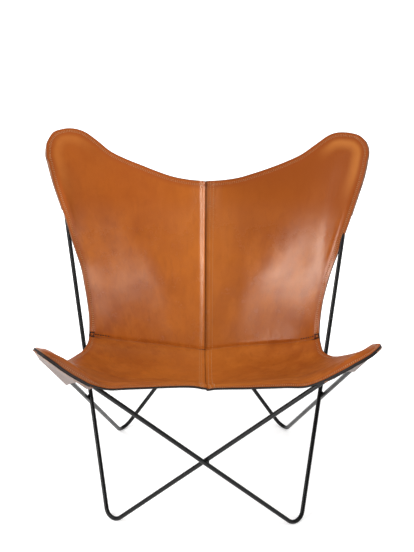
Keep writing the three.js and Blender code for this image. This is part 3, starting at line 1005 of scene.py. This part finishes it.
def stitch_mesh(name, places, material, facing=1, size=1.0):
    """One piece of all the stitches at the places, on the side that they face."""
    vertices, faces = [], []
    turn = np.linspace(0, 2 * np.pi, STITCH_SIDES, endpoint=False)
    for k, (spot, way, n) in enumerate(places):
        n = n * facing
        way = unit(way - n * (way @ n))
        beside = np.cross(n, way)
        tilt = STITCH_TILT if k % 2 else -STITCH_TILT
        way = unit(way + beside * tilt)
        first = len(vertices)
        for share, swell in STITCH_RINGS:
            centre = spot + way * share * size * STITCH_LENGTH / 2
            centre = centre - n * STITCH_HEIGHT * STITCH_SINK * share**2
            for a in turn:
                vertices.append(
                    centre
                    + beside * STITCH_WIDTH * size * swell * math.cos(a)
                    + n * STITCH_HEIGHT * size * swell * math.sin(a)
                )
        faces += tube_faces(len(STITCH_RINGS), STITCH_SIDES, first)
        last = len(vertices) - STITCH_SIDES
        faces.append(tuple(range(first + STITCH_SIDES - 1, first - 1, -1)))
        faces.append(tuple(range(last, last + STITCH_SIDES)))
    piece = mesh_piece(name, np.array(vertices), faces, [material], sharp=80)
    return piece


# Rows along the centre seam, in millimetres; what a row leaves at its ends
CENTRE_ROWS = by_panel((8.5, 13), (11, 20), (8.5, 14), (9, 18))
EDGE_TRIM = (0.006, 0.006)
CENTRE_TRIM = (0.006, 0.004)
POCKET_TRIM = (0.01, 0.01)


def sew(key):
    """Stitches of a panel, and those at the waist for a back panel."""
    part, side = key
    panel = panels[key]
    grid = panel.grid
    tree = tree_of(grid, panel.n, LEATHER)
    outline = free_edge(grid)
    inner = np.vstack((grid[-3], np.repeat(grid[-3:-2, -3], len(grid) - 1, 0)))
    inner[len(grid[-1]) :] = grid[-2::-1, -3]
    places = []
    for inset in EDGE_ROWS:
        places += row_places(outline, inner, tree, inset, EDGE_TRIM)
    for inset in CENTRE_ROWS[key]:
        places += row_places(grid[0], grid[3], tree, inset * MM, CENTRE_TRIM)
    pieces = [stitch_mesh(f"{part}_stitching_{side}", places, THREAD)]
    if part == "back":
        name, places = f"waist_stitching_{side}", box_places(key, tree)
        pieces.append(stitch_mesh(name, places, DARK_THREAD, size=WAIST_SIZE))
    return pieces


# Pockets: second layers sewn round each horn, open towards the middle

# Mouth: its ends, by share of the free side and far edge, and its curve; space
# over the rods, in millimetres
MOUTHS = by_panel((0.62, 0.56), (0.62, 0.56), (0.25, 0.62), (0.47, 0.66))
MOUTH_CURVES = by_panel(0.0, 0.0, 0.015, 0.0)
POCKET_SLACK = by_panel(1.0, 1.0, 5.5, 0.2)

# Grid, finer towards the sewn edge; its end and what it leaves at the mouth
POCKET_GRID, POCKET_FINER = (71, 49), 1.35
POCKET_END, POCKET_CORNER = 0.9995, 0.02

# Depth to start from, and margins where it's flat and where it opens
POCKET_DEPTH, POCKET_FLAT, POCKET_OPENS = 14 * MM, 4 * MM, 25 * MM

# Pulling tight: rounds, step, the mouth's share, and rounds between pushes
TIGHT_ROUNDS, TIGHT_STEP, MOUTH_PULL, CLEAR_EVERY = 260, 0.9, 0.3, 4

# Black edge at the seat: first row on the rim and on the faces, and its width
BLACK_RIM, BLACK_FACES, BLACK_WIDTH = 36, 34, 3


def tightened(grid, over, n, rods, clear, sewn):
    """Sheet pulled tight between its sewn edge and the rods that it passes
    behind, always clear of the panel over it."""
    lines, _ = rods
    corner = lines[1][0]
    square = unit(np.cross(lines[0][0] - corner, lines[1][-1] - corner))
    if square @ n.reshape(-1, 3).mean(0) < 0:
        square = -square
    edge = grid[:, -1].copy()
    ends = grid[0].copy(), grid[-1].copy()
    for k in range(TIGHT_ROUNDS):
        mean = grid.copy()
        mean[1:-1, 1:-1] = (
            grid[:-2, 1:-1] + grid[2:, 1:-1] + grid[1:-1, :-2] + grid[1:-1, 2:]
        ) / 4
        beside = (1 - MOUTH_PULL) / 2 * (grid[:-2, 0] + grid[2:, 0])
        mean[1:-1, 0] = MOUTH_PULL * grid[1:-1, 1] + beside
        slide = ((mean - grid) * square).sum(-1)[..., None] * square
        grid = grid + TIGHT_STEP * slide
        if k % CLEAR_EVERY == CLEAR_EVERY - 1:
            for line in lines:
                _, near = distance(grid, line)
                apart = grid - near
                height = (apart * square).sum(-1)
                beside = ((apart - height[..., None] * square) ** 2).sum(-1)
                under = -np.sqrt(np.maximum(clear**2 - beside, 0))
                push = np.where(beside < clear**2, np.minimum(under - height, 0), 0)
                grid = grid + push[..., None] * square
            gap = ((over - grid) * n).sum(-1)
            grid = grid - n * np.maximum(sewn - gap, 0)[..., None]
        grid[:, -1] = edge
        grid[0], grid[-1] = ends
    return grid


def pocket_sheet(key):
    """Pocket under a panel, its stitches, and its grid."""
    part, side = key
    panel = panels[key]
    side_share, far_share = MOUTHS[key]
    rows, cells = POCKET_GRID
    s = np.linspace(0, 1, rows)
    t = 1 - (1 - np.linspace(0, 1, cells)) ** POCKET_FINER
    mouth = np.stack((1 + (far_share - 1) * s, side_share + (1 - side_share) * s), -1)
    last, cut = POCKET_END, POCKET_CORNER
    along_side = side_share + cut + (last - cut - side_share) * 2 * s
    along_far = last - (last - cut - far_share) * (2 * s - 1)
    edge = np.where(
        s[:, None] < 0.5,
        np.stack((np.full_like(s, last), along_side), -1),
        np.stack((along_far, np.full_like(s, last)), -1),
    )
    curve = MOUTH_CURVES[key] * 4 * s * (1 - s)
    mouth = np.minimum(mouth, last) - curve[:, None]
    uv = mouth[:, None] + (edge - mouth)[:, None] * t[None, :, None]

    def pick(values):
        """Values of the panel's grid at shares of it."""
        x = np.interp(uv[..., 0], panel.u, np.arange(len(panel.u)))
        y = np.interp(uv[..., 1], panel.v, np.arange(len(panel.v)))
        i = np.minimum(x.astype(int), len(panel.u) - 2)
        j = np.minimum(y.astype(int), len(panel.v) - 2)
        a, b = (x - i)[..., None], (y - j)[..., None]
        return (
            (1 - a) * (1 - b) * values[i, j]
            + a * (1 - b) * values[i + 1, j]
            + (1 - a) * b * values[i, j + 1]
            + a * b * values[i + 1, j + 1]
        )

    over, n = pick(panel.grid), unit(pick(panel.n))
    apart, _ = distance(over, free_edge(panel.grid))
    opened = np.clip((apart - POCKET_FLAT) / POCKET_OPENS, 0, 1)
    sewn = (LEATHER + POCKET) / 2 - 0.1 * MM
    grid = over - n * (sewn + opened * POCKET_DEPTH)[..., None]
    clear = ROD_RADIUS + POCKET / 2 + POCKET_SLACK[key] * MM
    grid = tightened(grid, over, n, HORNS[key], clear, sewn)
    seat = part == "seat"
    rims = np.full(grid.shape[:2], RIM)
    if seat:
        rims[BLACK_RIM:, -1] = OTHER_RIM
    piece = sheet_piece(
        f"{part}_pocket_leather_{side}",
        grid,
        normals(grid),
        POCKET,
        (SUEDE, RAW_EDGE, SUEDE, DYED),
        {"edge": apart},
        rims,
        seat,
    )
    if seat:
        count = (rows - 1) * (cells - 1)
        faces = np.arange(count).reshape(rows - 1, cells - 1)
        faces = faces[BLACK_FACES:, -BLACK_WIDTH:].ravel()
        for face in np.r_[faces, faces + count].tolist():
            piece.data.polygons[face].material_index = OTHER_RIM
    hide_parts({"back": "back", "seat": "front"}[part] + f"_pocket_{side}")
    tree = tree_of(grid, normals(grid), -POCKET)
    places = []
    for inset in EDGE_ROWS:
        places += row_places(grid[:, -1], grid[:, -4], tree, inset, POCKET_TRIM)
    name = f"{part}_pocket_stitching_{side}"
    stitching = stitch_mesh(name, places, THREAD, -1)
    return piece, stitching, grid


# Backing strips: columns that they cover, cut size, half width, and space
STRIP_ENDS = {"back": slice(2, -4), "seat": slice(4, -15)}
STRIP_LENGTHS = {"back": 0.47, "seat": 0.5}
STRIP_HALF = 0.017
PANEL_WIDTH = 0.41
STRIP_SPACE = 0.3 * MM


def centre_strip(part):
    """Backing strip under the centre seam."""
    halves = []
    for side in HANDS:
        panel = panels[part, side]
        count = int(np.searchsorted(panel.u * PANEL_WIDTH, STRIP_HALF))
        under = (LEATHER + STRIP) / 2 + STRIP_SPACE
        rows = panel.base - panel.base_n * under
        halves.append(rows[:count])
    v = panels[part, "left"].v
    other = panels[part, "right"].v
    right = np.stack([sampled(v, other, row) for row in halves[1]])
    grid = np.concatenate((halves[0][::-1], right[1:]))[:, STRIP_ENDS[part]]
    piece = sheet_piece(
        f"{part}_centre_strip", grid, normals(grid), STRIP, (DYED, DYED, SUEDE)
    )
    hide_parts(f"centre_strip_{part}")
    return piece


FRAME_NAMES = ["rod_loop_a_steel", "rod_loop_b_steel"]
for key in PANELS:
    leather = leather_sheet(key)
    stitches = sew(key)
    pocket, pocket_stitches, pocket_grid = pocket_sheet(key)

for part, length in STRIP_LENGTHS.items():
    centre_strip(part)


# Frame: the longest step along a rod, and the sides of its round section
ROD_STEP = 0.05
ROD_SIDES = 28


def rod_piece(name, loop, node):
    """Round rod swept along a loop, cut level where it stands on the floor."""
    line = np.vstack(loop)
    finer = []
    for a, b in zip(line, np.roll(line, -1, 0)):
        pieces = max(1, int(np.linalg.norm(b - a) / ROD_STEP))
        for k in range(pieces):
            finer.append(a + (b - a) * k / pieces)
    line = np.array(finer)
    heading = unit(np.roll(line, -1, 0) - np.roll(line, 1, 0))
    side = unit(np.cross((1.0, 0, 0), heading[0]))
    carried = []
    for k in range(len(line) + 1):
        h = heading[k % len(line)]
        side = unit(side - h * (side @ h))
        carried.append(side)
    h, first, end = heading[0], carried[0], carried[-1]
    twist = math.atan2(np.cross(end, first) @ h, end @ first)
    angles = np.linspace(0, 2 * np.pi, ROD_SIDES, endpoint=False)
    rings = []
    for k, (p, h) in enumerate(zip(line, heading)):
        a = angles + twist * k / len(line)
        up, across = carried[k], np.cross(h, carried[k])
        ring = np.cos(a)[:, None] * up + np.sin(a)[:, None] * across
        rings.append(p + ROD_RADIUS * ring)
    vertices = np.vstack(rings)
    vertices[:, 2] = np.maximum(vertices[:, 2], 0)
    faces = tube_faces(len(line), ROD_SIDES, closed=True)
    piece = mesh_piece(name, vertices, faces, [STEEL], sharp=60)
    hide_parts(node)


rod_piece(FRAME_NAMES[0], loop_a, "rod_loop_a")
rod_piece(FRAME_NAMES[1], loop_b, "rod_loop_b")
for node in ("weld_front", "weld_back", "weld_left", "weld_right"):
    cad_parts[node].data.materials.clear()
    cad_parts[node].data.materials.append(STEEL)


# Floor, background and lights

WHITE = (1, 1, 1, 1)

# Floor: colour; distances from the middle and its glow at each
FLOOR_PAINT = (0.88, 0.88, 0.88, 1)
FLOOR_GLOW = (0.5, 1.2, 0.41, 1.0)

# World: light, what glossy surfaces see beside the white wall, and its fading
WORLD_LIGHT, WORLD_DIM = 0.72, 0.03
WALL_HEIGHT = (0.25, 0.5, 1.0, 0.0)
WALL_DEPTH = (0.1, 0.5, 0.0, 1.0)


def add_floor():
    """White floor that keeps the chair's shadow near it."""
    bpy.ops.mesh.primitive_plane_add(size=40, location=(0, 0, 0))
    floor = bpy.context.object
    floor.name = "floor"
    material = bpy.data.materials.new("white_floor")
    t = Tree(material)
    t.tree.nodes.clear()
    place = t.add("NewGeometry", output="Position")
    away = t.add("VectorMath", {0: place}, "Value", operation="LENGTH")
    glow = t.add("Emission", {"Color": WHITE, "Strength": t.ramp(away, *FLOOR_GLOW)})
    paint = t.add("BsdfDiffuse", {"Color": FLOOR_PAINT})
    both = t.add("AddShader", {0: paint, 1: glow})
    rays = t.add("LightPath").node.outputs
    seen = t.maths("MAXIMUM", rays["Is Camera Ray"], rays["Is Glossy Ray"])
    t.add("OutputMaterial", {"Surface": t.between(seen, paint, both)})
    floor.data.materials.append(material)


def add_world():
    """White behind the chair for what the camera and glossy surfaces see,
    soft and dim elsewhere."""
    world = bpy.data.worlds.new("studio")
    t = Tree(world)
    t.tree.nodes.clear()

    def plain(strength):
        return t.add("Background", {"Color": WHITE, "Strength": strength})

    way = t.add("TexCoord", output="Generated")
    way = t.add("SeparateXYZ", {0: way}).node.outputs
    low, behind = t.ramp(way["Z"], *WALL_HEIGHT), t.ramp(way["Y"], *WALL_DEPTH)
    rays = t.add("LightPath").node.outputs
    glossy = t.between(t.times(low, behind), plain(WORLD_DIM), plain(1.0))
    shown = t.between(rays["Is Glossy Ray"], plain(WORLD_LIGHT), glossy)
    seen = t.maths("MAXIMUM", rays["Is Camera Ray"], rays["Is Transmission Ray"])
    t.add("OutputWorld", {"Surface": t.between(seen, shown, plain(1.0))})
    bpy.context.scene.world = world


# Place of each lamp, what it points at, its size and its power
LAMPS = {
    "key": ((-1.6, -0.75, 1.8), (0.25, 0.2, 0.55), (1.8, 0.42), 26),
    "low": ((-1.45, -1.6, 0.72), (0.0, 0.25, 0.55), (0.7, 0.5), 15),
    "fill": ((1.67, -0.8, 1.63), (-0.2, 0.2, 0.5), (1.6, 0.6), 9),
    "top": ((0.2, -0.3, 3.0), (0, 0.1, 0.4), (1.6, 1.6), 8),
}


def add_light(name, place, target, size, power):
    data = bpy.data.lights.new(name, "AREA")
    data.shape = "RECTANGLE"
    data.size, data.size_y = size
    data.energy = power
    light = bpy.data.objects.new(name, data)
    aim = (Vector(target) - Vector(place)).to_track_quat("-Z", "Y")
    light.matrix_world = Matrix.Translation(place) @ aim.to_matrix().to_4x4()
    bpy.context.scene.collection.objects.link(light)


add_floor()
add_world()
for name, lamp in LAMPS.items():
    add_light(name, *lamp)

bpy.context.scene.view_settings.view_transform = "Standard"
bpy.context.view_layer.update()
